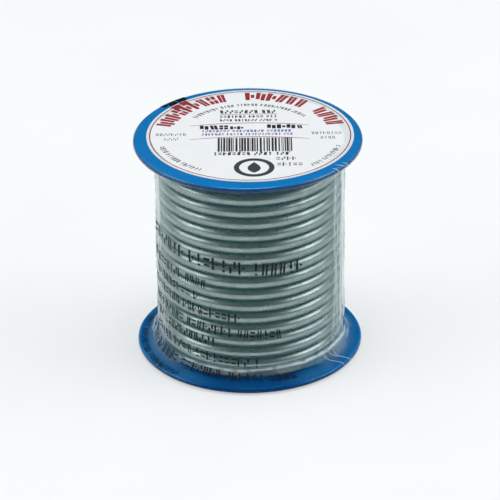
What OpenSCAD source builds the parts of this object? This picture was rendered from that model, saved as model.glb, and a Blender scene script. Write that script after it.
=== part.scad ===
// Wrapped reel of solder wire: two flanges on a core barrel, four layers of one
// continuous wire, a round label and a clear shrink film around everything.
// Origin: centre of the resting face of the lower flange. +Z is the reel's axis.

/* [Wire] */
// Diameter of the solder wire
wire_d = 3.25; // [2.5:0.05:3.6]
// Room between one turn and the next along the axis
turn_gap = 0.05; // [0.03:0.01:0.2]
// Turns in each layer
turns = 16; // [8:1:20]

/* [Reel] */
// Outside diameter of the core barrel
barrel_d = 19.4; // [18:0.1:24]
// Diameter of the spindle bore
bore_d = 15; // [10:0.5:16]
// Outside diameter of both flanges
flange_d = 57.5; // [56:0.5:70]
// Thickness of each flange plate
flange_t = 1.5; // [1.2:0.1:2]
// Height of the raised foot under the lower flange
foot_h = 0.3; // [0.25:0.05:0.6]
// Diameter of the raised foot
foot_d = 46; // [34:1:46]
// Free room between each flange and its nearest turn
end_gap = 0.2; // [0.1:0.05:0.5]

/* [Label] */
// Diameter of the round label
label_d = 52; // [40:1:52]
// Thickness of the label
label_t = 0.1; // [0.08:0.01:0.2]
// How far the label sits off the axis to the right
label_shift_x = 0.6; // [-0.8:0.1:0.8]
// How far the label sits off the axis to the back
label_shift_y = 0.9; // [-0.9:0.1:0.9]

/* [Film] */
// Thickness of the shrink film
film_t = 0.12; // [0.08:0.01:0.15]
// Width of the film's lip on each flange, in from the rim
film_lip = 4.5; // [3:0.5:5]
// Height over which the film draws in from a flange to the winding
film_draw = 6.5; // [4:0.5:9]

/* [Hidden] */

// Heights. A layer's turns sit half a pitch away from those of the layer below it.
pitch = wire_d + turn_gap;
floor_z = foot_h + flange_t;
low_z = floor_z + end_gap + wire_d / 2;
high_z = low_z + (turns - 0.5) * pitch;
ceiling_z = high_z + wire_d / 2 + end_gap;
reel_h = ceiling_z + flange_t;

// Radii. Neighbouring layers cross over each other at the back of the reel, so
// each one is a whole wire further out than the last, and the steepest half turn,
// which bulges a little, still clears the layer above it.
layer_clear = 0.18;
layer_step = wire_d + layer_clear;
barrel_clear = 0.03;
function layer_r(n) = barrel_d / 2 + barrel_clear + wire_d / 2 + (n - 1) * layer_step;
wound_r = layer_r(4) + wire_d / 2;

// The flange seats on a shoulder at each end of the barrel.
shoulder = 0.8;
seat_d = barrel_d - 2 * shoulder;

// The wire starts in a hole in the lower flange, then bends into the first turn.
bend_r = 2.2;
tail_z = 0.5;
start_hole_d = wire_d + 0.55;

// The wire's outer end stops part way round the back.
end_sweep = 80;

// Half turns end this far short of the sides, and the joint there covers the gap.
joint_angle = 0.1;
joint_len = 0.2;
joint_extra = 0.02;
tail_joint_extra = 0.06;

// The film is drawn as an outline, inside first, from the upper lip to the lower one.
film_gap = 0.03;
film_steps = 8;
film_waist_r = wound_r + 0.12;
film_rim_r = flange_t / 2 + film_gap;
film_rim_x = flange_d / 2 - flange_t / 2;
rim_turn = 50;
draw_tightness = 0.55;
label_edge_room = 0.5;

round_fn = 128;
wire_fn = 32;

// --- wire ---

// Half a turn of wire round the back. It leaves the right side (+X) at one radius
// and height and reaches the left side at another, level with the flanges at both.
// It stops just short of both sides, where a joint takes over.
module back_half(r_from, r_to, z_from, z_to, sweep = 180) {
    reach = r_from + r_to;
    slope = atan2(z_to - z_from, reach);
    translate([(r_from - r_to) / 2, 0, (z_from + z_to) / 2])
        rotate([0, slope, 0])
            rotate([0, 0, joint_angle])
                rotate_extrude(angle = sweep - 2 * joint_angle, $fn = round_fn)
                    translate([reach / 2 / cos(slope), 0])
                        circle(d = wire_d, $fn = wire_fn);
}

// The same round the front, from the left side to the right side.
module front_half(r_from, r_to, z_from, z_to) {
    rotate([0, 0, 180])
        back_half(r_from, r_to, z_from, z_to);
}

// Short straight length that joins two halves, on the right (1) or left (-1) side.
module joint(side, r, z, extra = joint_extra) {
    translate([side * r, 0, z])
        rotate([90, 0, 0])
            cylinder(d = wire_d + extra, h = joint_len, center = true, $fn = wire_fn);
}

// Turns that lie level round the front and step up or down by one pitch at the
// back. Each starts at the right side, at the given height.
module level_turns(r, z_start, count, step) {
    for (i = [0 : count - 1]) {
        z = z_start + i * step;
        back_half(r, r, z, z + step);
        joint(-1, r, z + step);
        front_half(r, r, z + step, z + step);
        joint(1, r, z + step);
    }
}

// An odd layer climbs. Its last half turn rises past the missing turn at the top,
// which leaves the next layer room to start against the upper flange.
module climbing_layer(r) {
    last_z = low_z + (turns - 2) * pitch;
    level_turns(r, low_z, turns - 2, pitch);
    back_half(r, r, last_z, high_z);
}

// The wire's inner end comes up through the flange and bends into the first turn.
module wire_tail(r) {
    translate([r, 0, low_z - bend_r])
        rotate([90, 0, -90])
            rotate_extrude(angle = 90, $fn = round_fn)
                translate([bend_r, 0])
                    circle(d = wire_d, $fn = wire_fn);
    translate([r, -bend_r, tail_z])
        cylinder(d = wire_d, h = low_z - bend_r - tail_z, $fn = wire_fn);
}

module wire_layer_1() {
    color([0.52, 0.54, 0.55]) {
        wire_tail(layer_r(1));
        joint(1, layer_r(1), low_z, tail_joint_extra);
        climbing_layer(layer_r(1));
    }
}

module wire_layer_2() {
    last_z = high_z - (turns - 2) * pitch;
    color([0.55, 0.57, 0.58]) {
        front_half(layer_r(1), layer_r(2), high_z, high_z);
        joint(1, layer_r(2), high_z);
        level_turns(layer_r(2), high_z, turns - 2, -pitch);
        back_half(layer_r(2), layer_r(2), last_z, low_z);
    }
}

module wire_layer_3() {
    color([0.52, 0.54, 0.55]) {
        front_half(layer_r(2), layer_r(3), low_z, low_z);
        joint(1, layer_r(3), low_z);
        climbing_layer(layer_r(3));
    }
}

module wire_layer_4() {
    last_z = high_z - (turns - 1) * pitch;
    color([0.58, 0.6, 0.61]) {
        front_half(layer_r(3), layer_r(4), high_z, high_z);
        joint(1, layer_r(4), high_z);
        level_turns(layer_r(4), high_z, turns - 1, -pitch);
        back_half(layer_r(4), layer_r(4), last_z, last_z - pitch, end_sweep);
    }
}

// --- reel ---

// Plate with a full round edge, its underside at z = 0.
module flange_plate() {
    rotate_extrude($fn = round_fn) {
        translate([seat_d / 2, 0])
            square([film_rim_x - seat_d / 2, flange_t]);
        translate([film_rim_x, flange_t / 2])
            circle(d = flange_t, $fn = wire_fn);
    }
}

module upper_flange() {
    color([0, 0.45, 0.73])
        translate([0, 0, ceiling_z])
            flange_plate();
}

module lower_flange() {
    color([0, 0.45, 0.73])
        difference() {
            union() {
                translate([0, 0, foot_h])
                    flange_plate();
                rotate_extrude($fn = round_fn)
                    translate([seat_d / 2, 0])
                        square([(foot_d - seat_d) / 2, foot_h + flange_t / 2]);
            }
            translate([layer_r(1), -bend_r, -1])
                cylinder(d = start_hole_d, h = floor_z + 2, $fn = wire_fn);
        }
}

module core_barrel() {
    color([0.05, 0.4, 0.65])
        rotate_extrude($fn = round_fn) {
            translate([bore_d / 2, 0])
                square([(seat_d - bore_d) / 2, reel_h]);
            translate([bore_d / 2, floor_z])
                square([(barrel_d - bore_d) / 2, ceiling_z - floor_z]);
        }
}

// --- label and film ---

module top_label() {
    color("white")
        translate([label_shift_x, label_shift_y, reel_h])
            cylinder(d = label_d, h = label_t, $fn = round_fn);
}

// Points round the upper rim, from its top to where the film leaves it.
function rim_arc(grow) = [for (i = [0 : film_steps])
    let (a = 90 - i * (90 + rim_turn) / film_steps)
    [film_rim_x + (film_rim_r + grow) * cos(a),
     reel_h - flange_t / 2 + (film_rim_r + grow) * sin(a)]];

// Curve from the rim down to the winding, which it meets along its length.
function draw_in(grow) =
    let (start = rim_arc(grow)[film_steps],
         land = [film_waist_r + grow, ceiling_z - film_draw],
         bend = [film_waist_r + grow, land[1] + film_draw * draw_tightness])
    [for (i = [1 : film_steps])
        let (t = i / film_steps)
        (1 - t) * (1 - t) * start + 2 * t * (1 - t) * bend + t * t * land];

// Upper half of the outline, from the lip's edge to the winding.
function film_half(grow, lip_z) = concat(
    [[flange_d / 2 - film_lip, lip_z + grow]],
    [[film_rim_x - label_edge_room, lip_z + grow]],
    rim_arc(grow),
    draw_in(grow));

// The lower half is the upper one turned over.
function turned_over(points) = [for (i = [len(points) - 1 : -1 : 0])
    [points[i][0], floor_z + ceiling_z - points[i][1]]];

// The upper lip lies on the label and the lower one straight on the flange.
function film_outline(grow) = concat(
    film_half(grow, reel_h + label_t + film_gap),
    turned_over(film_half(grow, reel_h + film_gap)));

function reversed(points) = [for (i = [len(points) - 1 : -1 : 0]) points[i]];

module shrink_sleeve() {
    color([0.9, 0.95, 1, 0.25])
        rotate_extrude($fn = round_fn)
            polygon(concat(film_outline(0), reversed(film_outline(film_t))));
}

upper_flange();
lower_flange();
core_barrel();
wire_layer_1();
wire_layer_2();
wire_layer_3();
wire_layer_4();
top_label();
shrink_sleeve();
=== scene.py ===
"""Looks for a shrink-wrapped reel of solder wire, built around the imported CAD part.

Helper lengths are in millimetres, and MM turns them into the metres that Blender uses.
"""

import math

import bpy
import numpy as np
from mathutils import Matrix, Vector


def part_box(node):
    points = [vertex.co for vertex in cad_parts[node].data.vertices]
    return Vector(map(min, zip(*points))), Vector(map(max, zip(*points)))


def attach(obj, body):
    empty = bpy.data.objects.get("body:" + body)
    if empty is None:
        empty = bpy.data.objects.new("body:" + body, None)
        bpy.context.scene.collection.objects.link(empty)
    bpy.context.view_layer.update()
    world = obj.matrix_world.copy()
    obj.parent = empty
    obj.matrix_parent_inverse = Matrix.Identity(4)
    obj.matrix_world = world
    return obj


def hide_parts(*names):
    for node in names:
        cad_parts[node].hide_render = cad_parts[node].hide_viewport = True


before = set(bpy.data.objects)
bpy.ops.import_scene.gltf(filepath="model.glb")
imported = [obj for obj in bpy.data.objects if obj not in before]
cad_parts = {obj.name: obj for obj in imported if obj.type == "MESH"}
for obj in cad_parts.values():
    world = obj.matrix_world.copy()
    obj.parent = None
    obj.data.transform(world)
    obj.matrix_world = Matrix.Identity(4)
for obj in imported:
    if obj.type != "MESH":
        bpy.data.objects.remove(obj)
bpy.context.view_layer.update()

MM = 0.001
BODY = "root"


def box_mm(node):
    low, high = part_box(node)
    return np.array(low) / MM, np.array(high) / MM


# ---------------------------------------------------------------- sizes, from the CAD

upper_low, upper_high = box_mm("upper_flange")
lower_high = box_mm("lower_flange")[1]
label_low, label_high = box_mm("top_label")
outer_high = box_mm("wire_layer_4")[1]
third_high = box_mm("wire_layer_3")[1]

FLANGE_R = upper_high[0]
FLANGE_T = upper_high[2] - upper_low[2]
REEL_TOP = upper_high[2]
CEILING = upper_low[2]
FLOOR = lower_high[2]
RIM_X = FLANGE_R - FLANGE_T / 2

WIRE_D = 3.25
PITCH = 3.3
TURNS = 16
END_GAP = 0.2
END_SWEEP = 80
# The CAD wire's short joints stand this far out from it, which widens its box.
JOINT_RISE = 0.01
OUTER_R = outer_high[0] - WIRE_D / 2 - JOINT_RISE
THIRD_R = third_high[0] - WIRE_D / 2 - JOINT_RISE
HIGH_Z = CEILING - END_GAP - WIRE_D / 2
WOUND_R = OUTER_R + WIRE_D / 2
LAYER_STEP = OUTER_R - THIRD_R

LABEL_R = (label_high[0] - label_low[0]) / 2
LABEL_X = (label_high[0] + label_low[0]) / 2
LABEL_Y = (label_high[1] + label_low[1]) / 2
LABEL_TOP = label_high[2]


# ---------------------------------------------------------------- meshes


def add_mesh(name, verts_mm, faces, materials, slot, smooth=True):
    """A mesh object, which rides on the part's body unless it has no slot."""
    mesh = bpy.data.meshes.new(name)
    mesh.from_pydata((np.asarray(verts_mm) * MM).tolist(), [], [tuple(f) for f in faces])
    mesh.validate()
    mesh.polygons.foreach_set("use_smooth", [smooth] * len(mesh.polygons))
    for material in materials:
        mesh.materials.append(material)
    obj = bpy.data.objects.new(name, mesh)
    bpy.context.scene.collection.objects.link(obj)
    if slot:
        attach(obj, BODY)
    return obj


def grid_faces(rows, cols, wrap_rows=False, wrap_cols=False, start=0, flip=False):
    """Quads over a grid of vertices that are numbered row by row from start."""
    i = np.arange(rows if wrap_rows else rows - 1)
    j = np.arange(cols if wrap_cols else cols - 1)
    i, j = (a.ravel() for a in np.meshgrid(i, j, indexing="ij"))
    i_next, j_next = (i + 1) % rows, (j + 1) % cols
    quads = np.stack(
        [i * cols + j, i_next * cols + j, i_next * cols + j_next, i * cols + j_next], 1
    )
    return (quads[:, ::-1] if flip else quads) + start


def ripple(points, wavelength, seed, waves=14):
    """Smooth noise of about unit height at each point: plane waves in random directions."""
    draw = np.random.RandomState(seed)
    total = np.zeros(points.shape[:-1])
    for _ in range(waves):
        direction = draw.normal(size=3)
        direction /= np.linalg.norm(direction)
        length = wavelength * draw.uniform(0.7, 1.6)
        phase = draw.uniform(0, 2 * math.pi)
        total += np.sin(points @ direction * (2 * math.pi / length) + phase)
    return total / math.sqrt(waves / 2)


def smoothstep(low, high, x):
    t = np.clip((x - low) / (high - low), 0, 1)
    return t * t * (3 - 2 * t)


# ---------------------------------------------------------------- outer winding

# Points round the wire and along half a turn, and the rounding of its cut ends.
RING_SIDES = 30
HALF_STEPS = 84
CUT_ROUND = 0.22

# The turns stand out a little on the right: how far, in mm, and how wide, in degrees.
WIND_BULGE, WIND_BULGE_WIDTH = 0.5, 38

# How far the wire wanders in and out, is dented, and wanders up and down.
DRIFT, DENT, SWAY = 0.045, 0.02, 0.04


def half_turn(side, r_from, r_to, z_from, z_to, sweep=180):
    """Half a turn round the back (side 1) or the front (side -1), as the CAD lays it."""
    reach = r_from + r_to
    slope = math.atan2(z_to - z_from, reach)
    steps = round(HALF_STEPS * sweep / 180)
    a = np.radians(np.linspace(0, sweep, steps, endpoint=False))
    radius = reach / 2 / math.cos(slope)
    x, y = radius * np.cos(a), radius * np.sin(a)
    along = x * math.cos(slope) + (r_from - r_to) / 2
    return np.stack([side * along, side * y, (z_from + z_to) / 2 - x * math.sin(slope)], 1)


def outer_path():
    parts = [half_turn(-1, THIRD_R, OUTER_R, HIGH_Z, HIGH_Z)]
    for i in range(TURNS - 1):
        z = HIGH_Z - i * PITCH
        parts.append(half_turn(1, OUTER_R, OUTER_R, z, z - PITCH))
        parts.append(half_turn(-1, OUTER_R, OUTER_R, z - PITCH, z - PITCH))
    z = HIGH_Z - (TURNS - 1) * PITCH
    parts.append(half_turn(1, OUTER_R, OUTER_R, z, z - PITCH, END_SWEEP))
    return np.concatenate(parts)


def swept_wire(path, diameter):
    """Closed tube round a path, its ends cut flat with a small rounded edge."""
    tangent = np.gradient(path, axis=0)
    tangent /= np.linalg.norm(tangent, axis=1)[:, None]
    outward = path * [1, 1, 0]
    outward -= tangent * np.sum(outward * tangent, axis=1)[:, None]
    outward /= np.linalg.norm(outward, axis=1)[:, None]
    upward = np.cross(tangent, outward)
    a = np.linspace(0, 2 * math.pi, RING_SIDES, endpoint=False)
    ring = outward[:, None] * np.cos(a)[None, :, None] + upward[:, None] * np.sin(a)[None, :, None]
    out_of_round = 1 + 0.006 * ripple(path[:, None] + ring * 2, 9, 21)
    tube = path[:, None] + ring * (diameter / 2 * out_of_round)[..., None]
    ends = []
    for k, sign in ((0, -1), (-1, 1)):
        for back, inset in ((0.0, CUT_ROUND), (CUT_ROUND * 0.5, CUT_ROUND * 0.25)):
            scale = (diameter / 2 - inset) / (diameter / 2)
            centre = path[k] + tangent[k] * sign * (CUT_ROUND - back)
            ends.append(centre + (tube[k] - path[k]) * scale)
    rings = np.concatenate([[ends[0], ends[1]], tube, [ends[3], ends[2]]])
    count = len(rings)
    verts = rings.reshape(-1, 3)
    faces = grid_faces(count, RING_SIDES, wrap_cols=True, flip=True).tolist()
    faces.append(list(range(RING_SIDES))[::-1])
    faces.append([(count - 1) * RING_SIDES + k for k in range(RING_SIDES)])
    return verts, faces


def make_winding(material):
    path = outer_path()
    radial = path * [1, 1, 0] / np.linalg.norm(path[:, :2], axis=1)[:, None]
    settle = smoothstep(0, HALF_STEPS, np.arange(len(path)))
    drift = ripple(path * [1, 1, 0.4], 26, 11)
    dents = ripple(path, 7, 12)
    from_right = np.degrees(np.arctan2(path[:, 1], path[:, 0])) / WIND_BULGE_WIDTH
    bulge = WIND_BULGE * np.exp(-(from_right**2))
    path = path + radial * (settle * (bulge + DRIFT * drift + DENT * dents))[:, None]
    path[:, 2] += settle * SWAY * ripple(path * [1, 1, 0.25], 30, 13)
    verts, faces = swept_wire(path, WIRE_D)
    wire = add_mesh("outer_winding", verts, faces, [material], "solder")
    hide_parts("wire_layer_4")


# ---------------------------------------------------------------- film

FILM_T = 0.05
FILM_COLS = 460
LIP_STEPS, RIM_STEPS, FLAT_STEPS, DRAW_STEPS, WAIST_STEPS = 14, 13, 8, 22, 112
FRONT = -math.pi / 2

# The film lies just off the winding and the rims, and each lip ends short of the axis: the
# upper one on the label, and the lower one round the reel's foot.
WAIST_R = WOUND_R + 0.1
RIM_R = FLANGE_T / 2 + 0.1
RIM_TURN = math.radians(80)
LIP_IN = FLANGE_R - 4.5
LIP_UP = LABEL_TOP + 0.05
LIP_DOWN = FLOOR - FLANGE_T - 0.07
FOOT_R = 23

# Where the printed panel folds over the upper rim, in degrees round from the right,
# with how wide, in radians, and how far in the lip reaches there.
PATCH_AT, PATCH_WIDTH, PATCH_REACH = 133, 0.17, 1.9

# Upright creases, each: degrees round from the front (+ to the right), lowest and
# highest z, height out, width, and lean in mm of arc per mm of height.
CREASES = [
    (63, 4, 52, 0.34, 0.7, 0.01),
    (67, 3, 40, 0.16, 0.5, -0.01),
    (72, 5, 55, 0.3, 0.8, 0.02),
    (78, 2, 30, 0.24, 0.8, -0.03),
    (84, 8, 54, 0.38, 0.9, 0.01),
    (93, 4, 46, 0.3, 1.0, -0.02),
    (104, 12, 55, 0.34, 0.9, 0.03),
    (-66, 2, 17, 0.24, 0.7, 0.06),
    (-71, 22, 54, 0.2, 0.7, -0.02),
    (-76, 3, 33, 0.3, 0.8, 0.03),
    (-83, 6, 55, 0.36, 0.9, -0.01),
    (-91, 2, 40, 0.3, 0.9, 0.02),
    (-101, 14, 55, 0.34, 1.0, -0.03),
    (-118, 4, 36, 0.3, 0.9, 0.02),
    (131, 3, 52, 0.3, 1.0, 0.03),
    (158, 10, 55, 0.34, 0.9, -0.02),
    (-152, 5, 50, 0.3, 1.0, 0.02),
    (176, 2, 26, 0.22, 0.8, 0.04),
    (-38, 1, 12, 0.08, 0.5, 0.08),
    (47, 1, 14, 0.12, 0.5, -0.06),
    (36, 46, 56, 0.1, 0.6, 0.05),
    (-29, 45, 56, 0.08, 0.6, -0.05),
]

# On the right the film stands off the winding: how far, in mm, where, and how wide, in
# degrees from the front.
BULGE, BULGE_AT, BULGE_WIDTH = 0.8, 90, 36

# Level folds in the film at the foot and head of the winding, each: height, angles
# from the front between which it is strongest, height out and width.
FOLDS = [
    (4.0, -34, 78, 0.24, 0.28),
    (4.3, 30, 70, 0.2, 0.4),
    (54.6, -80, -25, 0.12, 0.4),
    (4.6, 120, 170, 0.22, 0.5),
]


def turn_sink(theta, z):
    """How far the film sinks between turns: 0 on a turn's crest, 1 in the groove."""
    step = (1 - np.cos(np.maximum(theta, 0))) / 2
    phase = (HIGH_Z - z) / PITCH - step
    return (1 - np.cos(2 * math.pi * phase)) / 2


def spread(a, b, t):
    """A row for each angle, with its points shared out from a to b."""
    return a[:, None] + (b - a)[:, None] * t[None]


def film_end(sign, wall_z, lip, lip_z, side, reach):
    """One end of the film's outline, from the lip's edge round the rim to the winding.

    Sign is 1 at the upper flange and -1 at the lower one, whose inner faces are at
    wall_z. The film meets the winding at the distance reach from there.
    """
    ones = np.ones_like(lip)
    mid_z = wall_z + sign * FLANGE_T / 2
    off_wall = 0.18 + 0.12 * side
    leave_r = ones * (RIM_X + RIM_R * math.cos(RIM_TURN))
    leave_z = ones * (mid_z - sign * RIM_R * math.sin(RIM_TURN))
    flat_r = np.minimum(WAIST_R + 0.75 * reach, RIM_X - 0.8)
    flat_z = wall_z - sign * (off_wall + 0.12)
    bend_z = wall_z - sign * (off_wall + 0.3)
    land_z = wall_z - sign * reach

    t_lip = np.linspace(0, 1, LIP_STEPS, endpoint=False)
    t_flat = np.linspace(0, 1, FLAT_STEPS, endpoint=False)
    t = np.linspace(0, 1, DRAW_STEPS, endpoint=False)
    a_rim = np.linspace(math.pi / 2, -RIM_TURN, RIM_STEPS, endpoint=False)
    start, bend, land = (1 - t) ** 2, 2 * t * (1 - t), t * t
    r = [
        spread(lip, ones * RIM_X, t_lip),
        np.outer(ones, RIM_X + RIM_R * np.cos(a_rim)),
        spread(leave_r, flat_r, t_flat),
        np.outer(flat_r, start) + np.outer(ones * WAIST_R, bend + land),
    ]
    z = [
        np.full((len(lip), LIP_STEPS), lip_z),
        np.outer(ones, mid_z + sign * RIM_R * np.sin(a_rim)),
        spread(leave_z, flat_z, t_flat),
        np.outer(flat_z, start) + np.outer(bend_z, bend) + np.outer(land_z, land),
    ]
    return np.concatenate(r, 1), np.concatenate(z, 1)


def film_base(theta):
    """The film's outline at each angle round the reel, from upper lip to lower lip."""
    ring = np.stack([np.cos(theta), np.sin(theta), np.zeros_like(theta)], 1) * WAIST_R
    side = smoothstep(0.4, 1, np.abs(np.cos(theta)))
    left = smoothstep(0.55, 1, -np.cos(theta))
    draw_top = 2.9 + 0.8 * side + 0.3 * ripple(ring, 21, 31)
    draw_low = 2.7 + 1.6 * side + 2.2 * left + 0.3 * ripple(ring, 18, 32)
    from_patch = (theta - math.radians(PATCH_AT)) / PATCH_WIDTH
    lip_top = LIP_IN + 0.35 * ripple(ring, 16, 33) - PATCH_REACH * np.exp(-(from_patch**2))
    lip_low = np.maximum(LIP_IN - 0.6 + 0.4 * ripple(ring, 14, 34), FOOT_R + 0.2)
    top_r, top_z = film_end(1, CEILING, lip_top, LIP_UP, side, draw_top)
    low_r, low_z = film_end(-1, FLOOR, lip_low, LIP_DOWN, side, draw_low)
    t_waist = np.linspace(0, 1, WAIST_STEPS, endpoint=False)
    waist_z = spread(CEILING - draw_top, FLOOR + draw_low, t_waist)
    waist_r = np.full_like(waist_z, WAIST_R)
    r = np.concatenate([top_r, waist_r, low_r[:, ::-1]], 1)
    z = np.concatenate([top_z, waist_z, low_z[:, ::-1]], 1)
    return r, z


def unrolled_height(r, z):
    """Height of each point with the film rolled out flat, true at the winding's middle."""
    lengths = np.hypot(np.diff(r, axis=1), np.diff(z, axis=1))
    walked = np.concatenate([0 * r[:, :1], np.cumsum(lengths, axis=1)], 1)
    mid = LIP_STEPS + RIM_STEPS + FLAT_STEPS + DRAW_STEPS + WAIST_STEPS // 2
    return z[:, mid : mid + 1] + walked[:, mid : mid + 1] - walked


def round_from(angle, degrees=0):
    """Angle in radians from a place that is given in degrees round from the front."""
    return (angle - FRONT - math.radians(degrees) + math.pi) % (2 * math.pi) - math.pi


def crease_height(angle, z):
    crease = np.zeros_like(z)
    for degrees, low, high, height, width, lean in CREASES:
        arc = round_from(angle, degrees) * WAIST_R - lean * (z - (low + high) / 2)
        arc = arc + 0.35 * np.sin(z / 5.5 + degrees)
        ends = smoothstep(low - 2, low + 3, z) * smoothstep(high + 2, high - 3, z)
        strength = ends * (0.75 + 0.25 * np.sin(z / 3.1 + degrees * 2))
        crease += height * strength * np.exp(-((arc / width) ** 2))
    return crease


def fold_height(angle, z):
    fold = np.zeros_like(z)
    arc = round_from(angle)
    turned = np.degrees(arc)
    for z_fold, low, high, height, width in FOLDS:
        ends = smoothstep(low - 25, low, turned) * smoothstep(high + 12, high, turned)
        wave = z_fold + 0.12 * np.sin(7 * arc) + 0.08 * np.sin(17 * arc + 1)
        fold += height * ends * np.exp(-(((z - wave) / width) ** 2))
    return fold


def pleat_height(angle, r):
    """Fine pleats that run outwards over the flanges, of up to unit height."""
    draw = np.random.RandomState(41)
    waves = 9
    total = np.zeros_like(r)
    for _ in range(waves):
        count = draw.randint(34, 120)
        phase = draw.uniform(0, 2 * math.pi)
        twist = draw.uniform(-0.05, 0.05)
        total += np.sin(count * (angle + twist * (r - WAIST_R)) + phase)
    return np.abs(total) / waves


def film_surface():
    """The film's outer skin: its angles, points, normals, heights once unrolled, and tags.

    The tags are how hazy and creased the film is, with painted highlights along its folds and
    creases, and how slack and glossy it is at each point.
    """
    theta = np.linspace(-math.pi, math.pi, FILM_COLS, endpoint=False)
    r, z = film_base(theta)
    dr, dz = np.gradient(r, axis=1), np.gradient(z, axis=1)
    size = np.hypot(dr, dz)
    n_r, n_z = -dz / size, dr / size
    angle = theta[:, None] + 0 * r
    points = np.stack([r * np.cos(angle), r * np.sin(angle), z], 2)
    normals = np.stack([n_r * np.cos(angle), n_r * np.sin(angle), n_z], 2)
    turned = np.degrees(round_from(angle))

    # Which part of the film each point is on, and how restless the film is there.
    waist = smoothstep(FLOOR + 3, FLOOR + 4.5, z) * smoothstep(CEILING - 3.2, CEILING - 4.6, z)
    on_wall = smoothstep(WAIST_R + 1.2, WAIST_R + 0.1, r)
    flare = smoothstep(WAIST_R + 0.3, WAIST_R + 2.5, r)
    at_ends = smoothstep(REEL_TOP - 0.2, REEL_TOP, z) + smoothstep(0.6, 0.4, z)
    on_lip = smoothstep(RIM_X + 0.4, RIM_X - 0.6, r) * at_ends
    side = smoothstep(0.35, 0.9, np.abs(np.cos(angle)))
    rear = smoothstep(0.0, 0.6, np.sin(angle))
    restless = np.clip(0.25 + side + 0.8 * rear, 0, 1)
    patchy = smoothstep(-0.3, 1.2, ripple(points, 13, 42))

    # What lifts it off the outline, in mm.
    sink = 0.07 * turn_sink(angle, z) * waist
    crease = crease_height(angle, z) * np.maximum(on_wall, 0.35)
    fold = fold_height(angle, z) * on_wall
    on_flare = flare * (1 - on_lip) * (0.02 + 0.25 * restless) * patchy
    pleats = pleat_height(angle, r) * (on_flare + on_lip * 0.05)
    loose = 0.022 * (1 + ripple(points, 9, 43)) * (0.4 + 0.6 * restless)
    fine = 0.006 * (1 + ripple(points * [1, 1, 0.5], 2.6, 44)) * (0.3 + restless)
    tent = BULGE * np.exp(-(((turned - BULGE_AT) / BULGE_WIDTH) ** 2))
    tent *= smoothstep(WAIST_R + 3, WAIST_R + 0.3, r)
    tent *= smoothstep(FLOOR + 0.2, FLOOR + 1, z) * smoothstep(CEILING - 0.2, CEILING - 1, z)
    push = tent - sink + crease + fold + pleats + np.maximum(loose, 0) + np.maximum(fine, 0)
    outer = points + normals * push[..., None]

    # How it looks there.
    low_down = smoothstep(FLOOR + 3.6, FLOOR + 2.2, z) * smoothstep(1.0, 1.4, z)
    at_foot = smoothstep(WAIST_R + 0.9, WAIST_R + 0.2, r) * (0.3 + 0.3 * patchy)
    past_front = smoothstep(38, 62, np.abs(turned)) * smoothstep(RIM_X - 0.6, WAIST_R + 1, r)
    corner = low_down * (at_foot + past_front * (0.2 + 0.25 * patchy))
    speckle = 0.8 + 0.3 * ripple(points, 1.6, 45)
    # The first tag is milky haze at creases, pleats, folds and the foot. Along the folds it is made
    # strong as a painted highlight of their glints.
    tags = {
        "haze_and_glint": np.clip(crease * 1.6 + fold * 11 * speckle + pleats * 0.4 + corner, 0, 2.4),
        "slack": np.clip(restless - 0.22, 0.03, 1),
        "gleam": 1 - 0.93 * smoothstep(WAIST_R + 0.15, WAIST_R + 0.8, r) * (1 - 0.6 * restless),
    }
    return theta, outer, true_normals(outer, normals), unrolled_height(r, z), tags


def true_normals(points, guide):
    """Unit normals of a grid that closes on itself by rows, on the guide's side."""
    around = np.roll(points, -1, 0) - np.roll(points, 1, 0)
    down = np.gradient(points, axis=1)
    normal = np.cross(around, down)
    normal /= np.linalg.norm(normal, axis=2)[..., None]
    return normal * np.sign(np.sum(normal * guide, axis=2))[..., None]


def make_film(material):
    theta, outer, normals, unrolled, tags = film_surface()
    inner = outer - normals * FILM_T
    rows, cols = outer.shape[:2]
    verts = np.concatenate([outer.reshape(-1, 3), inner.reshape(-1, 3)])
    shift = rows * cols
    skins = [
        grid_faces(rows, cols, wrap_rows=True, flip=True),
        grid_faces(rows, cols, wrap_rows=True, start=shift),
    ]
    i = np.arange(rows) * cols
    i_next = np.roll(i, -1)
    last = cols - 1
    skins.append(np.stack([i, i_next, i_next + shift, i + shift], 1))
    skins.append(np.stack([i_next + last, i + last, i + last + shift, i_next + last + shift], 1))
    film = add_mesh("film_wrap", verts, np.concatenate(skins), [material], "clear_film")
    for name, values in tags.items():
        tag = film.data.attributes.new(name, "FLOAT", "POINT")
        tag.data.foreach_set("value", np.tile(values.ravel(), 2).astype(np.float32))
    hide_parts("shrink_sleeve")
    return film_sampler(theta, outer, normals, unrolled)


def film_sampler(theta, outer, normals, unrolled):
    """A function that finds places on the film: its points there, and their normals.

    A place is the arc from the front and the height once unrolled.
    """
    rows = len(theta)

    def sample(places):
        found, facing = [], []
        for s, height in places:
            u = (FRONT + s / WAIST_R + math.pi) / (2 * math.pi) * rows
            a = math.floor(u)
            f = u - a
            a, b = a % rows, (a + 1) % rows
            column = outer[a] * (1 - f) + outer[b] * f
            side = normals[a] * (1 - f) + normals[b] * f
            heights = unrolled[a] * (1 - f) + unrolled[b] * f
            at = np.interp(-height, -heights, np.arange(len(column)))
            j = min(int(at), len(column) - 2)
            g = at - j
            found.append(column[j] * (1 - g) + column[j + 1] * g)
            facing.append(side[j] * (1 - g) + side[j + 1] * g)
        facing = np.array(facing)
        return np.array(found), facing / np.linalg.norm(facing, axis=1)[:, None]

    return sample


# ---------------------------------------------------------------- print


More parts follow.
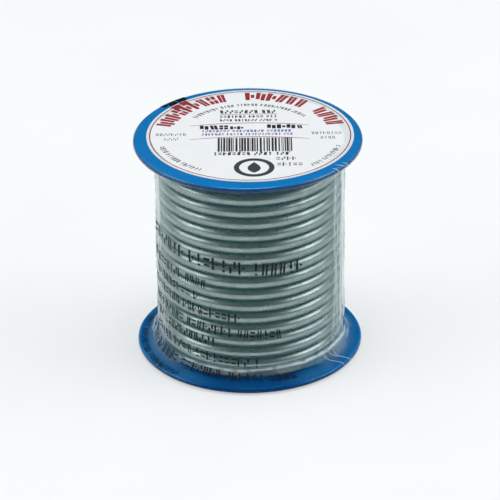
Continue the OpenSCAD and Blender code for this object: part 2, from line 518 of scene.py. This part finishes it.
class Ink:
    """Thin closed strips of ink laid on a surface, gathered into one mesh."""

    RISE, SINK = 0.02, 0.012

    def __init__(self, surface):
        self.surface = surface
        self.verts, self.faces, self.count = [], [], 0

    def strip(self, left, right, closed=False):
        """A strip between two lines of the same number of surface positions."""
        left, right = np.asarray(left, float), np.asarray(right, float)
        (p_left, n_left), (p_right, n_right) = self.surface(left), self.surface(right)
        facing = np.cross(p_left[1] - p_left[0], p_right[0] - p_left[0]) @ n_left[0]
        if facing < 0:
            p_left, n_left, p_right, n_right = p_right, n_right, p_left, n_left
        count, start = len(left), self.count
        for points, normals in ((p_left, n_left), (p_right, n_right)):
            self.verts += [points + normals * self.RISE, points - normals * self.SINK]
        self.count += 4 * count
        grid = np.array([0, 1, 3, 2])[:, None] * count + np.arange(count)[None] + start
        for a, b in zip(grid, np.roll(grid, -1, 0)):
            quads = np.stack([a, b, np.roll(b, -1), np.roll(a, -1)], 1)
            self.faces += quads[: None if closed else -1].tolist()
        if not closed:
            self.faces.append(grid[::-1, 0].tolist())
            self.faces.append(grid[:, -1].tolist())

    def block(self, x0, x1, y0, y1, steps=1):
        x = np.linspace(x0, x1, steps + 1)
        self.strip(np.stack([x, 0 * x + y1], 1), np.stack([x, 0 * x + y0], 1))

    def build(self, name, material, slot):
        verts = np.concatenate(self.verts)
        return add_mesh(name, verts, self.faces, [material], slot, smooth=False)


# Parts of a heavy mark, as fractions of its cell: left, right, bottom, top and lean.
BOLD_MARKS = (
    ((0, 0.44, 0.14, 1, 0), (0.56, 1, 0, 0.86, 0)),
    ((0, 0.36, 0, 1, 0.2), (0.44, 0.8, 0, 1, 0.2)),
    ((0, 0.44, 0, 0.45, 0), (0, 0.44, 0.55, 1, 0), (0.56, 1, 0, 0.45, 0), (0.56, 1, 0.55, 1, 0)),
    ((0.2, 0.56, 0, 1, -0.2), (0.64, 1, 0, 1, -0.2)),
    ((0, 0.5, 0, 1, 0), (0.62, 1, 0.28, 0.72, 0)),
)


def fine_marks(draw, length, height, pen):
    """Strokes, dots and dashes that fill a line as small print does, without being letters.

    Each is (left, right, bottom, top, lean). Lean is how far the top sits to the right, and
    pen is the width of a stroke.
    """
    marks, x = [], 0.0
    cell, gap = height * 0.5, height * 0.19
    slant, thin = cell * 0.2, pen * 0.8
    left_in_word = draw.randint(4, 10)
    while x + cell < length:
        middle, right = x + cell / 2, x + cell
        kind = draw.randint(0, 6)
        if kind == 0:
            marks.append((x, right, height * 0.18, height * 0.18 + pen, 0))
            marks.append((x, right, height * 0.66, height * 0.66 + pen, 0))
        elif kind == 1:
            marks.append((x, x + thin, 0, height, slant))
            marks.append((right - thin - slant, right - slant, 0, height, slant))
        elif kind == 2:
            marks.append((x, x + pen, 0, height, 0))
            marks.append((right - pen, right, height * 0.45, height * 0.45 + pen, 0))
        elif kind == 3:
            marks.append((x, x + pen, 0, height * 0.52, 0))
            marks.append((right - pen, right, height * 0.48, height, 0))
        elif kind == 4:
            marks.append((x + slant, x + slant + thin, 0, height, -slant))
            marks.append((right - thin, right, 0, height, -slant))
        else:
            marks.append((middle - pen / 2, middle + pen / 2, height * 0.36, height, 0))
            marks.append((middle - pen / 2, middle + pen / 2, 0, pen, 0))
        x = right + gap
        left_in_word -= 1
        if left_in_word == 0:
            x += height * 0.4
            left_in_word = draw.randint(4, 12)
    return marks


def lay_marks(ink, marks, place, step=0.9):
    """Lay marks on a surface, where place turns a mark's x and y into a surface position."""
    for left, right, low, high, lean in marks:
        if right - left > high - low:
            x = np.linspace(left, right, 1 + math.ceil((right - left) / step))
            edges = [(x, 0 * x + high), (x, 0 * x + low)]
        else:
            y = np.linspace(low, high, 1 + math.ceil((high - low) / step))
            slant = lean * (y - low) / (high - low)
            edges = [(left + slant, y), (right + slant, y)]
        ink.strip(*(np.column_stack(place(*edge)) for edge in edges))


def bold_mark(draw, x0, x1, height):
    """One heavy mark that fills a cell, as the pieces it is made of."""
    pieces = BOLD_MARKS[draw.randint(len(BOLD_MARKS))]
    wide = x1 - x0
    return [
        (x0 + wide * left, x0 + wide * right, height * low, height * high, wide * lean)
        for left, right, low, high, lean in pieces
    ]


# ---------------------------------------------------------------- print on the label


# Words of the title, each: the angles where it starts and ends, and how many marks it has.
TITLE_WORDS = [(166, 105, 9), (93, 50, 6), (40, 13, 4)]
TITLE_R, TITLE_HEIGHT = 20.0, 4.4

# The thin ring near the label's edge: how far in it starts, and its width.
RING_IN, RING_WIDTH = 0.7, 0.28

# The two thin rules, each: height in the middle and at the ends.
RULES = [(7.6, 6.1), (-0.3, -1.6)]

# Small print along arcs, each: radius, start and end angle, height, and 1 to stand
# outwards or -1 to stand inwards.
ARC_PRINT = [(16.6, 145, 35, 1.3, 1), (23.6, 196, 240, 1.4, -1), (23.6, -49, -15, 1.4, -1)]

# Small print along level lines, each: left, right, base, height, and the weight of its strokes.
SIDE_PRINT = [
    (-23, -15, 0.6, 1.4, 0.16),
    (-21, -17, -2.0, 1.4, 0.16),
    (16, 24, 0.8, 1.4, 0.16),
    (18.2, 22.2, -1.8, 1.4, 0.16),
]
MIDDLE_PRINT = [
    (-7, 7.5, 13.2, 1.8, 0.24),
    (-7, 7.5, 10.6, 1.4, 0.24),
    (-7, 7.5, 8.6, 1.2, 0.24),
    (-8.5, 11, -10.6, 1.7, 0.24),
]
BLUE_PRINT = [(-11.5, 11.5, 2.4, 1.3, 0.22), (-11.5, 11.5, 0.6, 1.2, 0.22)]
GREY_PRINT = [(7.0, 12.0, -13.5, 1.9, 0.19), (7.2, 13.8, -16.7, 1.9, 0.19)]

# Heavy figures, each: left, width of a cell, number of marks, base and height.
FIGURES = [
    (-12, 2.45, 3, 4.0, 2.3),
    (-4.4, 1.75, 2, 4.0, 1.7),
    (4.9, 2.45, 3, 4.3, 2.3),
    (12.4, 1.6, 1, 4.3, 1.7),
]

# The row of bars: its ends, its top, the feet of short and long bars, and how many are long.
BARS_LEFT, BARS_RIGHT, BARS_TOP = -7.5, 10.8, -0.9
BAR_FOOT, LONG_BAR_FOOT, LONG_BARS = -8.5, -9.3, 0.14
BAR_WIDTHS, BAR_GAPS = [0.17, 0.34, 0.51], [0.17, 0.26, 0.42]


def label_surface(places):
    points = np.column_stack([places, np.full(len(places), LABEL_TOP)])
    return points, np.tile([0.0, 0.0, 1.0], (len(places), 1))


def ring_places(radius, steps=120):
    a = np.radians(np.linspace(0, 360, steps, endpoint=False))
    return np.stack([LABEL_X + radius * np.cos(a), LABEL_Y + radius * np.sin(a)], 1)


def on_arc(radius, start, sense, rise=1):
    """A place function along an arc: x from the start angle, y outwards, or inwards if rise is -1."""

    def place(x, y):
        a = math.radians(start) + sense * x / radius
        r = radius + rise * y
        return LABEL_X + r * np.cos(a), LABEL_Y + r * np.sin(a)

    return place


def on_line(x0, y0):
    return lambda x, y: (x0 + x, y0 + y)


def arc_print(ink, draw, radius, start, end, height, rise):
    """Small print along an arc, clockwise if the end angle is the smaller one."""
    sense = 1 if end > start else -1
    length = math.radians(abs(end - start)) * radius
    marks = fine_marks(draw, length, height, height * 0.2)
    lay_marks(ink, marks, on_arc(radius, start, sense, rise))


def line_print(ink, draw, x0, x1, y, height, weight):
    lay_marks(ink, fine_marks(draw, x1 - x0, height, height * weight), on_line(x0, y))


def sagging_rule(ink, x0, x1, y_mid, y_end, width):
    """A thin line that is level in the middle and droops towards its ends."""
    x = np.linspace(x0, x1, 25)
    middle, half = (x0 + x1) / 2, (x1 - x0) / 2
    y = y_mid + (y_end - y_mid) * ((x - middle) / half) ** 2
    taper = width * (1 - 0.5 * np.abs((x - middle) / half) ** 3)
    ink.strip(np.stack([x, y + taper / 2], 1), np.stack([x, y - taper / 2], 1))


def print_title(ink, draw):
    for start, end, count in TITLE_WORDS:
        cell = math.radians(start - end) / count * TITLE_R
        for k in range(count):
            gap = 0.13 * cell * draw.uniform(0.8, 1.4)
            mark = bold_mark(draw, k * cell, (k + 1) * cell - gap, TITLE_HEIGHT)
            lay_marks(ink, mark, on_arc(TITLE_R, start, -1))


def print_figures(ink, draw):
    for x0, wide, count, y, tall in FIGURES:
        for k in range(count):
            mark = bold_mark(draw, k * wide, (k + 0.88) * wide, tall)
            lay_marks(ink, mark, on_line(x0, y))


def print_bars(ink, draw):
    """A row of bars of random widths."""
    x = BARS_LEFT
    while x < BARS_RIGHT:
        width = draw.choice(BAR_WIDTHS)
        foot = BAR_FOOT if draw.rand() > LONG_BARS else LONG_BAR_FOOT
        ink.block(x, x + width, foot, BARS_TOP)
        x += width + draw.choice(BAR_GAPS)


def make_label_print(red, black, blue, grey):
    draw = np.random.RandomState(51)
    ink = Ink(label_surface)
    print_title(ink, draw)
    outer_r = LABEL_R - RING_IN
    ink.strip(ring_places(outer_r), ring_places(outer_r - RING_WIDTH), closed=True)
    for y_mid, y_end in RULES:
        sagging_rule(ink, -14.5, 15.5, y_mid, y_end, 0.28)
    ink.build("label_print_red", red, "label_paper")

    ink = Ink(label_surface)
    for line in SIDE_PRINT:
        line_print(ink, draw, *line)
    for arc in ARC_PRINT:
        arc_print(ink, draw, *arc)
    for line in MIDDLE_PRINT:
        line_print(ink, draw, *line)
    ink.block(-7, 7.5, 12.6, 12.8)
    print_figures(ink, draw)
    print_bars(ink, draw)
    ink.build("label_print_black", black, "label_paper")

    ink = Ink(label_surface)
    for line in BLUE_PRINT:
        line_print(ink, draw, *line)
    ink.build("label_print_blue", blue, "label_paper")

    ink = Ink(label_surface)
    make_mark(ink, 1.5, -17.4, 5.0)
    for line in GREY_PRINT:
        line_print(ink, draw, *line)
    ink.build("label_print_grey", grey, "label_paper")


def make_mark(ink, x, y, size):
    """A plain mark: a ring with a drop of solder inside it."""
    a = np.radians(np.linspace(0, 360, 49))[:-1]
    circle = np.stack([np.cos(a), np.sin(a)], 1)
    centre = np.array([x, y])
    ink.strip(centre + circle * size, centre + circle * size * 0.74, closed=True)
    t = np.linspace(0.02, 1, 24)
    half = size * 0.4 * np.sin(math.pi * t) ** 0.75 * t**0.35
    height = y + size * (0.6 - 1.15 * t)
    half[-1] = size * 0.02
    ink.strip(np.stack([x + half, height], 1), np.stack([x - half, height], 1))


# ---------------------------------------------------------------- print on the film

# Lines of print on the film, each: arc from the front where it starts and ends,
# height of its base at the front, and the print's height.
FILM_LINES = [
    (-60, 14, 31.3, 3.3),
    (-62, -10.5, 25.2, 2.4),
    (-61, -13, 21.2, 2.4),
    (-63, -1.5, 17.5, 2.4),
    (-60, 9.5, 13.2, 2.4),
    (-62, -7.5, 9.4, 2.4),
    (-60, 3, 5.0, 2.4),
    (-58, 13, 0.7, 2.4),
    (-61, -16, -3.1, 1.7),
]
FILM_SLOPE = -0.072


def make_film_print(sample, black):
    draw = np.random.RandomState(61)
    ink = Ink(sample)
    for start, end, base, height in FILM_LINES:
        marks = fine_marks(draw, end - start, height, height * 0.16)
        lay_marks(ink, marks, on_film_line(start, base), 0.6)
    ink.build("film_print", black, "clear_film")


def on_film_line(start, base):
    return lambda x, y: (start + x, base + FILM_SLOPE * (start + x) + y)


# Hairline creases in the film, each a row of (arc from the front, height once unrolled).
HAIRLINES = [
    [(20.5, 4.6), (21.1, 2.0), (22.3, -0.6), (22.9, -2.6)],
    [(22.6, 5.2), (22.9, 2.6), (24.2, 0.4)],
    [(24.6, 3.4), (24.2, 0.8), (25.0, -1.6), (25.9, -3.0)],
    [(19.6, 62.6), (20.6, 61.2), (21.0, 59.6)],
    [(21.3, 63.4), (22.2, 61.8), (24.0, 60.9)],
    [(23.2, 62.6), (23.9, 61.0), (24.1, 59.4)],
    [(-25.6, 15.2), (-25.2, 12.0), (-25.8, 9.4)],
    [(-27.4, 13.8), (-27.2, 10.6), (-26.6, 8.2)],
    [(-23.4, 10.6), (-23.8, 8.2), (-23.2, 6.4)],
    [(27.4, 40.2), (27.7, 33.0), (27.2, 27.0), (27.6, 20.0)],
    [(30.2, 50.6), (30.0, 44.0), (30.6, 37.0), (30.3, 30.5)],
    [(29.0, 24.0), (29.5, 18.5), (28.9, 12.0)],
]


def make_hairlines(sample, material):
    """Sharp creases, as fine ridges that taper to a point at both ends, made pale as a painted glint.
    """
    ink = Ink(sample)
    for row in HAIRLINES:
        s, height = np.array(row).T
        t = np.linspace(0, len(row) - 1, 8 * len(row))
        s, height = np.interp(t, range(len(row)), s), np.interp(t, range(len(row)), height)
        half = 0.012 + 0.05 * np.sin(math.pi * t / (len(row) - 1)) ** 0.6
        ink.strip(np.stack([s - half, height], 1), np.stack([s + half, height], 1))
    ink.build("film_creases", material, "clear_film")


# Blocks of the printed panel, each: arc from its middle where it starts and ends, and
# its lowest and highest place once unrolled.
PATCH_BLACK = [(-3.2, -0.9, 60.2, 63.6), (-0.4, 1.7, 59.6, 63.9), (2.1, 3.3, 61.0, 63.2)]
PATCH_RED = [(-2.4, -0.3, 64.2, 66.2), (0.2, 2.6, 64.5, 66.6)]


def make_film_patch(name, sample, blocks, steps, material):
    """The corner of a printed panel, where the film folds over the upper rim at the back left."""
    middle = math.radians(PATCH_AT + 90 - 360) * WAIST_R
    ink = Ink(sample)
    for start, end, low, high in blocks:
        rise = np.linspace(low, high, steps)
        edges = (np.stack([0 * rise + middle + s, rise], 1) for s in (start, end))
        ink.strip(*edges)
    ink.build(name, material, "clear_film")


# ---------------------------------------------------------------- materials


class Graph:
    """A material's node graph, with short calls for its nodes. Positions in it are in mm."""

    def __init__(self, name):
        self.material = bpy.data.materials.new(name)
        self.material.use_nodes = True
        self.tree = self.material.node_tree
        self.tree.nodes.clear()

    def node(self, kind, sockets=None, **settings):
        made = self.tree.nodes.new("ShaderNode" + kind)
        for key, value in settings.items():
            setattr(made, key, value)
        for key, value in (sockets or {}).items():
            self.put(made.inputs[key], value)
        return made

    def put(self, socket, value):
        if isinstance(value, bpy.types.NodeSocket):
            self.tree.links.new(value, socket)
        else:
            socket.default_value = value

    def math(self, operation, *values):
        return self.node("Math", dict(enumerate(values)), operation=operation).outputs[0]

    def position(self):
        coords = self.node("TexCoord").outputs["Object"]
        scaled = self.node("VectorMath", {0: coords, "Scale": 1 / MM}, operation="SCALE")
        return scaled.outputs[0]

    def polar(self, along, across):
        """Coordinates round the reel's axis: features are long round it and fine across it.

        The radius comes second, to the same scale as the height, for a fourth dimension.
        """
        parts = self.node("SeparateXYZ", {0: self.position()}).outputs
        r = self.math("SQRT", self.math("ADD", *(self.math("MULTIPLY", p, p) for p in parts[:2])))
        x, y = (self.math("MULTIPLY", self.math("DIVIDE", p, r), along) for p in parts[:2])
        z = self.math("MULTIPLY", parts[2], across)
        w = self.math("MULTIPLY", r, across)
        return self.node("CombineXYZ", {0: x, 1: y, 2: z}).outputs[0], w

    def noise(self, vector, scale, detail=3.0, roughness=0.5, w=None):
        sockets = {"Vector": vector, "Scale": scale, "Detail": detail, "Roughness": roughness}
        if w is not None:
            sockets["W"] = w
        dimensions = "3D" if w is None else "4D"
        return self.node("TexNoise", sockets, noise_dimensions=dimensions).outputs[0]

    def remap(self, value, low, high, out_low, out_high):
        sockets = {0: value, 1: low, 2: high, 3: out_low, 4: out_high}
        return self.node("MapRange", sockets).outputs[0]

    def blend(self, factor, first, second):
        made = self.node("Mix", {0: factor, 6: (*first, 1), 7: (*second, 1)}, data_type="RGBA")
        return made.outputs[2]

    def tint(self, factor, first, second):
        """As blend, where first is a socket."""
        made = self.node("Mix", {0: factor, 6: first, 7: (*second, 1)}, data_type="RGBA")
        return made.outputs[2]

    def bump(self, height, distance_mm, strength=1.0, normal=None):
        sockets = {"Height": height, "Distance": distance_mm * MM, "Strength": strength}
        if normal is not None:
            sockets["Normal"] = normal
        return self.node("Bump", sockets).outputs[0]

    def principled(self, **sockets):
        named = {key.replace("_", " "): value for key, value in sockets.items()}
        return self.node("BsdfPrincipled", named).outputs[0]

    def finish(self, shader):
        self.node("OutputMaterial", {"Surface": shader})
        return self.material


def solder_material():
    """Drawn solder: streaked along the wire and pitted, with painted shade where turns meet."""
    g = Graph("solder_wire")
    fineness = 5.0
    streak_at, streak_w = g.polar(2.0, fineness)
    streaks = g.noise(streak_at, 1.0, 4, 0.6, streak_w)
    place = g.position()
    clouds = g.noise(place, 0.35, 4, 0.6)
    specks = g.noise(place, 2.6, 3, 0.65)
    dull = g.remap(clouds, 0.35, 0.68, 0.0, 1.0)
    colour = g.blend(dull, (0.328, 0.365, 0.36), (0.256, 0.297, 0.295))
    colour = g.tint(g.remap(streaks, 0.5, 0.8, 0.0, 0.35), colour, (0.15, 0.195, 0.198))
    colour = g.tint(g.remap(specks, 0.6, 0.8, 0.0, 0.2), colour, (0.11, 0.145, 0.145))
    # Painted shade: the colour darkens to teal-black in the grooves between turns, by how far below
    # the crest a point lies.
    below_crest = g.math("SUBTRACT", WOUND_R, g.math("DIVIDE", streak_w, fineness))
    in_groove = g.math("PINGPONG", below_crest, LAYER_STEP / 2)
    colour = g.tint(g.remap(in_groove, 0.4, 1.0, 0.0, 0.88), colour, (0.0, 0.1, 0.105))
    rough = g.math("ADD", g.remap(dull, 0, 1, 0.26, 0.35), g.remap(streaks, 0.3, 0.8, -0.03, 0.06))
    drawn = g.bump(streaks, 0.007)
    pitted = g.bump(specks, 0.0045, 1.0, drawn)
    return g.finish(g.principled(Base_Color=colour, Metallic=1.0, Roughness=rough, Normal=pitted))


def plastic_material(name, depth, side_depth, edge_low, edge_high, shine):
    """Moulded blue plastic with painted shade, darkened by depth in the middle and by side_depth at
    the sides.

    Painted shade also darkens its rim to nearly black from the height edge_high down to edge_low, on
    the rim's underside.
    """
    g = Graph(name)
    place = g.position()
    clouds = g.noise(place, 0.12, 3, 0.55)
    grain = g.noise(place, 5.0, 2, 0.5)
    ring_at, ring_w = g.polar(1.2, 3.0)
    rings = g.noise(ring_at, 1.0, 3, 0.5, ring_w)
    colour = g.blend(g.remap(clouds, 0.3, 0.7, 0, 1), (0.0, 0.176, 0.49), (0.0, 0.196, 0.53))
    colour = g.tint(g.remap(rings, 0.55, 0.85, 0, 0.25), colour, (0.0, 0.14, 0.42))
    across, _, height = g.node("SeparateXYZ", {0: place}).outputs
    # Painted shade: darker by depth near the middle (small |x|), by side_depth at the sides, and
    # nearly black on the rim's underside.
    shade = g.remap(g.math("ABSOLUTE", across), 8.0, 26.0, depth, side_depth)
    colour = g.tint(g.remap(height, edge_low, edge_high, 0.93, shade), colour, (0.0, 0.016, 0.11))
    uneven = g.remap(clouds, 0.3, 0.7, 0.14, 0.22)
    rough = g.math("ADD", uneven, g.remap(grain, 0.3, 0.7, -0.02, 0.03))
    normal = g.bump(grain, 0.0015, 1.0, g.bump(rings, 0.003))
    shader = g.principled(
        Base_Color=colour, Roughness=rough, Normal=normal, Specular_IOR_Level=shine
    )
    return g.finish(shader)


def paper_material():
    g = Graph("printed_paper")
    place = g.position()
    fibres = g.noise(place, 7.0, 4, 0.7)
    clouds = g.noise(place, 0.25, 3, 0.5)
    colour = g.blend(g.remap(clouds, 0.3, 0.7, 0, 1), (0.79, 0.81, 0.83), (0.82, 0.835, 0.855))
    colour = g.tint(g.remap(fibres, 0.5, 0.8, 0, 0.3), colour, (0.72, 0.735, 0.76))
    rough = g.remap(fibres, 0.3, 0.7, 0.42, 0.56)
    shader = g.principled(Base_Color=colour, Roughness=rough, Normal=g.bump(fibres, 0.006))
    return g.finish(shader)


def ink_material(name, dark, light, rough=0.45):
    g = Graph(name)
    mottle = g.noise(g.position(), 3.2, 4, 0.65)
    colour = g.blend(g.remap(mottle, 0.35, 0.75, 0, 1), dark, light)
    normal = g.bump(mottle, 0.004)
    rough = g.remap(mottle, 0.3, 0.7, rough - 0.06, rough + 0.08)
    return g.finish(
        g.principled(Base_Color=colour, Roughness=rough, Normal=normal, Specular_IOR_Level=0.15)
    )


def film_material():
    """Clear film: it mirrors more towards its edges, and hazes where it is creased. Along folds and
    creases the haze is partly a painted highlight.

    The film_wrap mesh gives it three attributes: its crease haze with painted glint, its slack, and
    its gleam.
    """
    g = Graph("shrink_film")
    place = g.position()
    haze_and_glint = g.node("Attribute", attribute_name="haze_and_glint").outputs["Fac"]
    pulled = g.noise(place, 0.9, 4, 0.6)
    fine = g.noise(place, 3.5, 3, 0.6)
    slack = g.node("Attribute", attribute_name="slack").outputs["Fac"]
    normal = g.bump(fine, 0.008, slack, g.bump(pulled, 0.05, slack))
    facing = g.node("LayerWeight", {"Blend": 0.5, "Normal": normal}).outputs["Facing"]
    mirrored = g.math("MULTIPLY_ADD", g.math("POWER", facing, 5.0), 0.95, 0.026)
    gleam = g.node("Attribute", attribute_name="gleam").outputs["Fac"]
    mirrored = g.math("MULTIPLY", mirrored, gleam)
    milky_spots = g.math("MULTIPLY", g.remap(fine, 0.45, 0.8, 0.0, 0.014), gleam)
    # The crease haze is partly painted highlight: it whitens folds and creases where glints fall.
    haze = g.math("ADD", milky_spots, g.math("MULTIPLY", haze_and_glint, 0.3))
    clear = g.node("BsdfTransparent", {"Color": (0.985, 0.992, 0.995, 1)}).outputs[0]
    milky = g.principled(Base_Color=(0.7, 0.85, 0.86, 1), Roughness=0.5, Normal=normal)
    cast = g.blend(g.remap(facing, 0.3, 0.85, 0, 1), (0.5, 1, 1), (0.97, 1, 1))
    gloss = g.node("BsdfGlossy", {"Color": cast, "Roughness": 0.06, "Normal": normal})
    body = g.node("MixShader", {0: haze, 1: clear, 2: milky}).outputs[0]
    shader = g.node("MixShader", {0: mirrored, 1: body, 2: gloss.outputs[0]}).outputs[0]
    return g.finish(shader)


def floor_material():
    g = Graph("floor_sweep")
    place = g.position()
    grain = g.noise(place, 0.02, 3, 0.5)
    colour = g.blend(g.remap(grain, 0.3, 0.7, 0, 1), (0.43, 0.435, 0.44), (0.45, 0.455, 0.46))
    shader = g.principled(
        Base_Color=colour,
        Roughness=0.6,
        Specular_IOR_Level=0.2,
        Emission_Color=(0.965, 0.985, 1.0, 1),
        Emission_Strength=0.49,
    )
    return g.finish(shader)


# ---------------------------------------------------------------- studio


# Light from the room: ahead and behind, at the sides, and straight above.
ROOM_DIM, ROOM_BRIGHT, ROOM_TOP = 0.085, 1.35, 4.0


def make_floor():
    """A wide, level sheet whose far edges curl up a little."""
    count, half = 41, 1600
    line = np.linspace(-half, half, count)
    x, y = np.meshgrid(line, line, indexing="ij")
    lift = 120 * smoothstep(half * 0.75, half, np.hypot(x, y)) - 0.02
    verts = np.stack([x, y, lift], 2).reshape(-1, 3)
    floor = add_mesh("floor", verts, grid_faces(count, count), [floor_material()], None)


def make_camera():
    elevation, distance, roll = math.radians(28.13), 847.7, math.radians(0.6)
    target = Vector((0.272, 0, 25.94))
    data = bpy.data.cameras.new("camera")
    data.sensor_width, data.lens = 36, 239.7
    data.clip_start, data.clip_end = 0.05, 20
    back = Vector((0, -math.cos(elevation), math.sin(elevation)))
    right = Vector((1, 0, 0))
    up = back.cross(right)
    turned = (
        right * math.cos(roll) - up * math.sin(roll),
        right * math.sin(roll) + up * math.cos(roll),
        back,
    )
    place = Matrix.Translation((target + back * distance) * MM)
    camera = bpy.data.objects.new("camera", data)
    camera.matrix_world = place @ Matrix(turned).transposed().to_4x4()
    bpy.context.scene.collection.objects.link(camera)
    bpy.context.scene.camera = camera


def make_light(name, place, size, power, mirrored=True):
    """A soft panel that faces the reel. It is never seen directly, nor in gloss unless mirrored."""
    data = bpy.data.lights.new(name, "AREA")
    data.shape, data.size, data.size_y, data.energy = "RECTANGLE", *size, power
    lamp = bpy.data.objects.new(name, data)
    lamp.location = place
    aim = Vector((0, 0, 0.03)) - Vector(place)
    lamp.rotation_euler = aim.to_track_quat("-Z", "Y").to_euler()
    lamp.visible_camera = False
    lamp.visible_glossy = mirrored
    bpy.context.scene.collection.objects.link(lamp)


def make_world():
    """A white room with darker walls ahead and behind. Seen directly, it is plain white."""
    world = bpy.data.worlds.new("studio")
    world.use_nodes = True
    tree = world.node_tree
    tree.nodes.clear()

    def node(kind, sockets, **settings):
        made = tree.nodes.new("ShaderNode" + kind)
        for key, value in settings.items():
            setattr(made, key, value)
        for key, value in sockets.items():
            if isinstance(value, bpy.types.NodeSocket):
                tree.links.new(value, made.inputs[key])
            else:
                made.inputs[key].default_value = value
        return made.outputs

    way = node("TexCoord", {})["Generated"]
    x, y, z = node("SeparateXYZ", {0: way})[:3]
    aside = node("Math", {0: x}, operation="ABSOLUTE")[0]
    bright = node(
        "MapRange",
        {0: aside, 1: 0.4, 2: 0.8, 3: ROOM_DIM, 4: ROOM_BRIGHT},
        interpolation_type="SMOOTHSTEP",
    )[0]
    raised = node(
        "MapRange", {0: z, 1: 0.3, 2: 0.62, 3: 0.2, 4: 1.0}, interpolation_type="SMOOTHSTEP"
    )[0]
    sides = node("Math", {0: bright, 1: raised}, operation="MULTIPLY")[0]
    above = node(
        "MapRange", {0: z, 1: 0.95, 2: 0.985, 3: 0.0, 4: ROOM_TOP}, interpolation_type="SMOOTHSTEP"
    )[0]
    level = node("Math", {0: sides, 1: above}, operation="ADD")[0]
    room = node("Background", {0: (0.965, 1.0, 1.0, 1), 1: level})[0]
    plain = node("Background", {0: (0.96, 0.97, 0.98, 1), 1: 1.0})[0]
    seen = node("LightPath", {})["Is Camera Ray"]
    mixed = node("MixShader", {0: seen, 1: room, 2: plain})[0]
    node("OutputWorld", {0: mixed})
    bpy.context.scene.world = world


# ---------------------------------------------------------------- everything

# Both flanges get painted shade on their rims' undersides. The lower flange's copy also has painted
# shade, darker in the middle where the winding shades it, and it has less shine.
upper_plastic = plastic_material("upper_plastic", 0.0, 0.0, CEILING + 0.9, CEILING + 1.45, 0.4)
lower_plastic_shaded = plastic_material("lower_plastic_shaded", 0.72, 0.12, FLOOR - 0.7, FLOOR - 0.25, 0.06)
solder = solder_material()
paper = paper_material()
black_ink = ink_material("black_ink", (0.010, 0.013, 0.015), (0.03, 0.036, 0.04))
red_ink = ink_material("red_ink", (0.26, 0.026, 0.03), (0.36, 0.045, 0.055))
blue_ink = ink_material("blue_ink", (0.03, 0.04, 0.24), (0.06, 0.07, 0.34))
grey_ink = ink_material("grey_ink", (0.035, 0.045, 0.05), (0.06, 0.07, 0.078))
# The hairline creases are real ridges, but their pale colour is a painted glint.
crease_glint_material = ink_material("creased_film_glint", (0.72, 0.77, 0.79), (0.85, 0.89, 0.9), 0.3)
film_ink = ink_material("film_ink", (0.003, 0.006, 0.007), (0.01, 0.015, 0.017))

cad_materials = {
    "upper_flange": upper_plastic,
    "lower_flange": lower_plastic_shaded,
    "core_barrel": lower_plastic_shaded,
    "wire_layer_1": solder,
    "wire_layer_2": solder,
    "wire_layer_3": solder,
    "top_label": paper,
}
for node_name, node_material in cad_materials.items():
    for node_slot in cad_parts[node_name].material_slots:
        node_slot.material = node_material

make_camera()
make_winding(solder)
film_at = make_film(film_material())
make_label_print(red_ink, black_ink, blue_ink, grey_ink)
make_film_print(film_at, film_ink)
make_film_patch("film_patch_black", film_at, PATCH_BLACK, 9, film_ink)
make_film_patch("film_patch_red", film_at, PATCH_RED, 5, red_ink)
make_hairlines(film_at, crease_glint_material)

make_floor()
make_world()
make_light("panel_left", (-0.75, -0.15, 0.5), (0.5, 0.6), 1.5)
make_light("panel_right", (0.75, -0.1, 0.55), (0.5, 0.6), 2.0)
make_light("panel_above", (0, 0.1, 1.3), (1.6, 1.6), 8.6, mirrored=False)
bpy.context.scene.view_settings.view_transform = "Standard"
